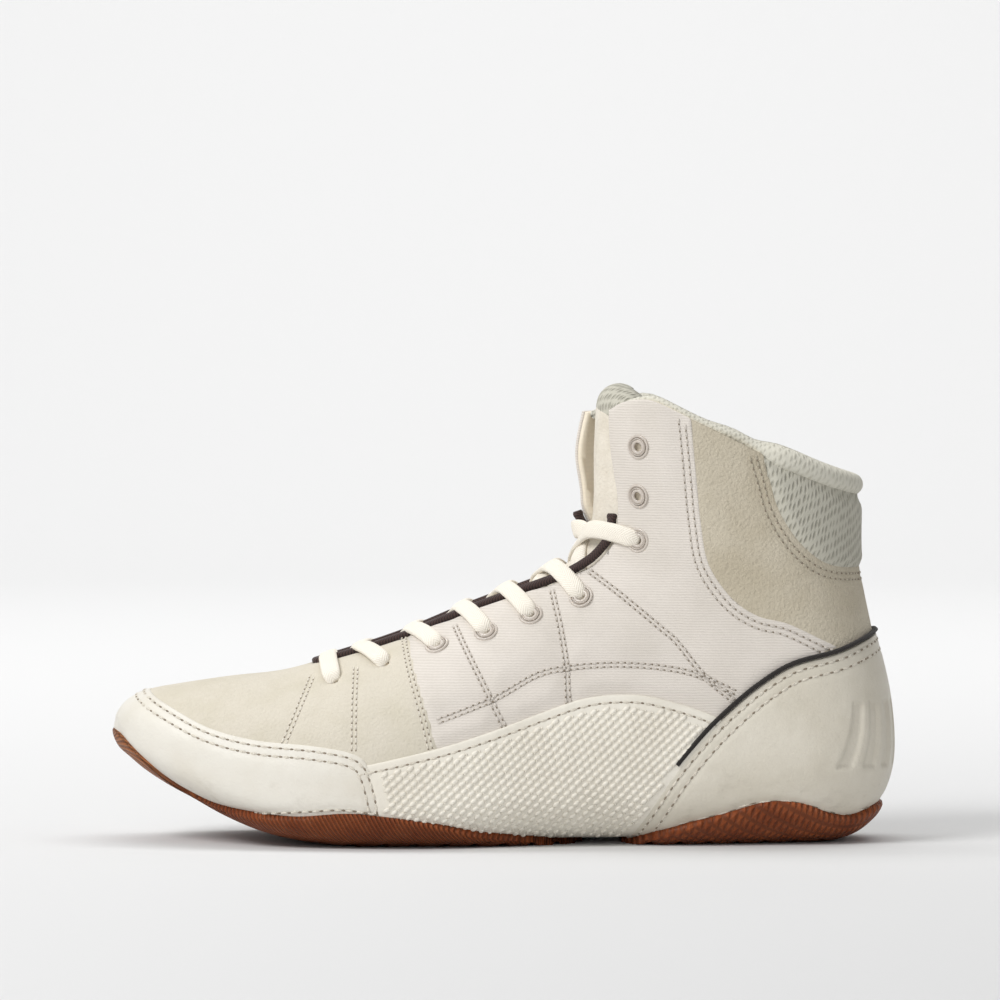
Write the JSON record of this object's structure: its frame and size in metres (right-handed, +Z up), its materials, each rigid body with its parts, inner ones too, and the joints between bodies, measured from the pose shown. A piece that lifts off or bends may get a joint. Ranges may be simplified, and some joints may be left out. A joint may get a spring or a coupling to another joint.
{
  "type": "wrestling shoe",
  "caption": "High lace-up wrestling shoe with a suede and cloth upper, smooth toe guard and heel counter, knit collar and a gum rubber split sole.",
  "frame": {"origin": "on the ground, under the middle of the shoe's box", "axes": "+X towards the heel, +Y towards the inner side of the foot, +Z up"},
  "size_m": [0.2852, 0.0994, 0.166],
  "materials": {
    "suede_and_cloth": "nubuck with a soft nap, and ribbed cloth quarters",
    "gum_rubber": "moulded, satin",
    "footbed": "cloth over foam",
    "tongue_cloth": "smooth cloth over foam",
    "smooth_leather": "smooth, satin",
    "dark_cord": "piping, matt",
    "embossed_sheet": "raised dots, satin",
    "knit": "open knit over foam",
    "dark_tape": "woven tape",
    "eyelet_plastic": "moulded, slightly glossy",
    "lace_weave": "flat woven lace"
  },
  "bodies": {
    "root": {"upper": "suede_and_cloth", "outsole_forefoot": "gum_rubber", "outsole_heel": "gum_rubber", "insole": "footbed", "tongue": "tongue_cloth", "toe_guard": "smooth_leather", "heel_counter": "smooth_leather", "counter_piping": "dark_cord", "side_panel_lateral": "embossed_sheet", "side_panel_medial": "embossed_sheet", "collar_cuff": "knit", "throat_binding": "dark_tape", "eyelet_ring_lateral_3": "eyelet_plastic", "eyelet_ring_medial_3": "eyelet_plastic", "eyelet_ring_lateral_4": "eyelet_plastic", "eyelet_ring_medial_4": "eyelet_plastic", "eyelet_ring_lateral_5": "eyelet_plastic", "eyelet_ring_medial_5": "eyelet_plastic", "eyelet_ring_lateral_6": "eyelet_plastic", "eyelet_ring_medial_6": "eyelet_plastic", "eyelet_ring_lateral_7": "eyelet_plastic", "eyelet_ring_medial_7": "eyelet_plastic", "eyelet_ring_lateral_8": "eyelet_plastic", "eyelet_ring_medial_8": "eyelet_plastic", "eyelet_ring_lateral_9": "eyelet_plastic", "eyelet_ring_medial_9": "eyelet_plastic", "lace_bar_1": "lace_weave", "lace_crossing_1": "lace_weave", "lace_crossing_2": "lace_weave", "lace_crossing_3": "lace_weave", "lace_crossing_4": "lace_weave", "lace_crossing_5": "lace_weave", "lace_crossing_6": "lace_weave"}
  },
  "joints": []
}
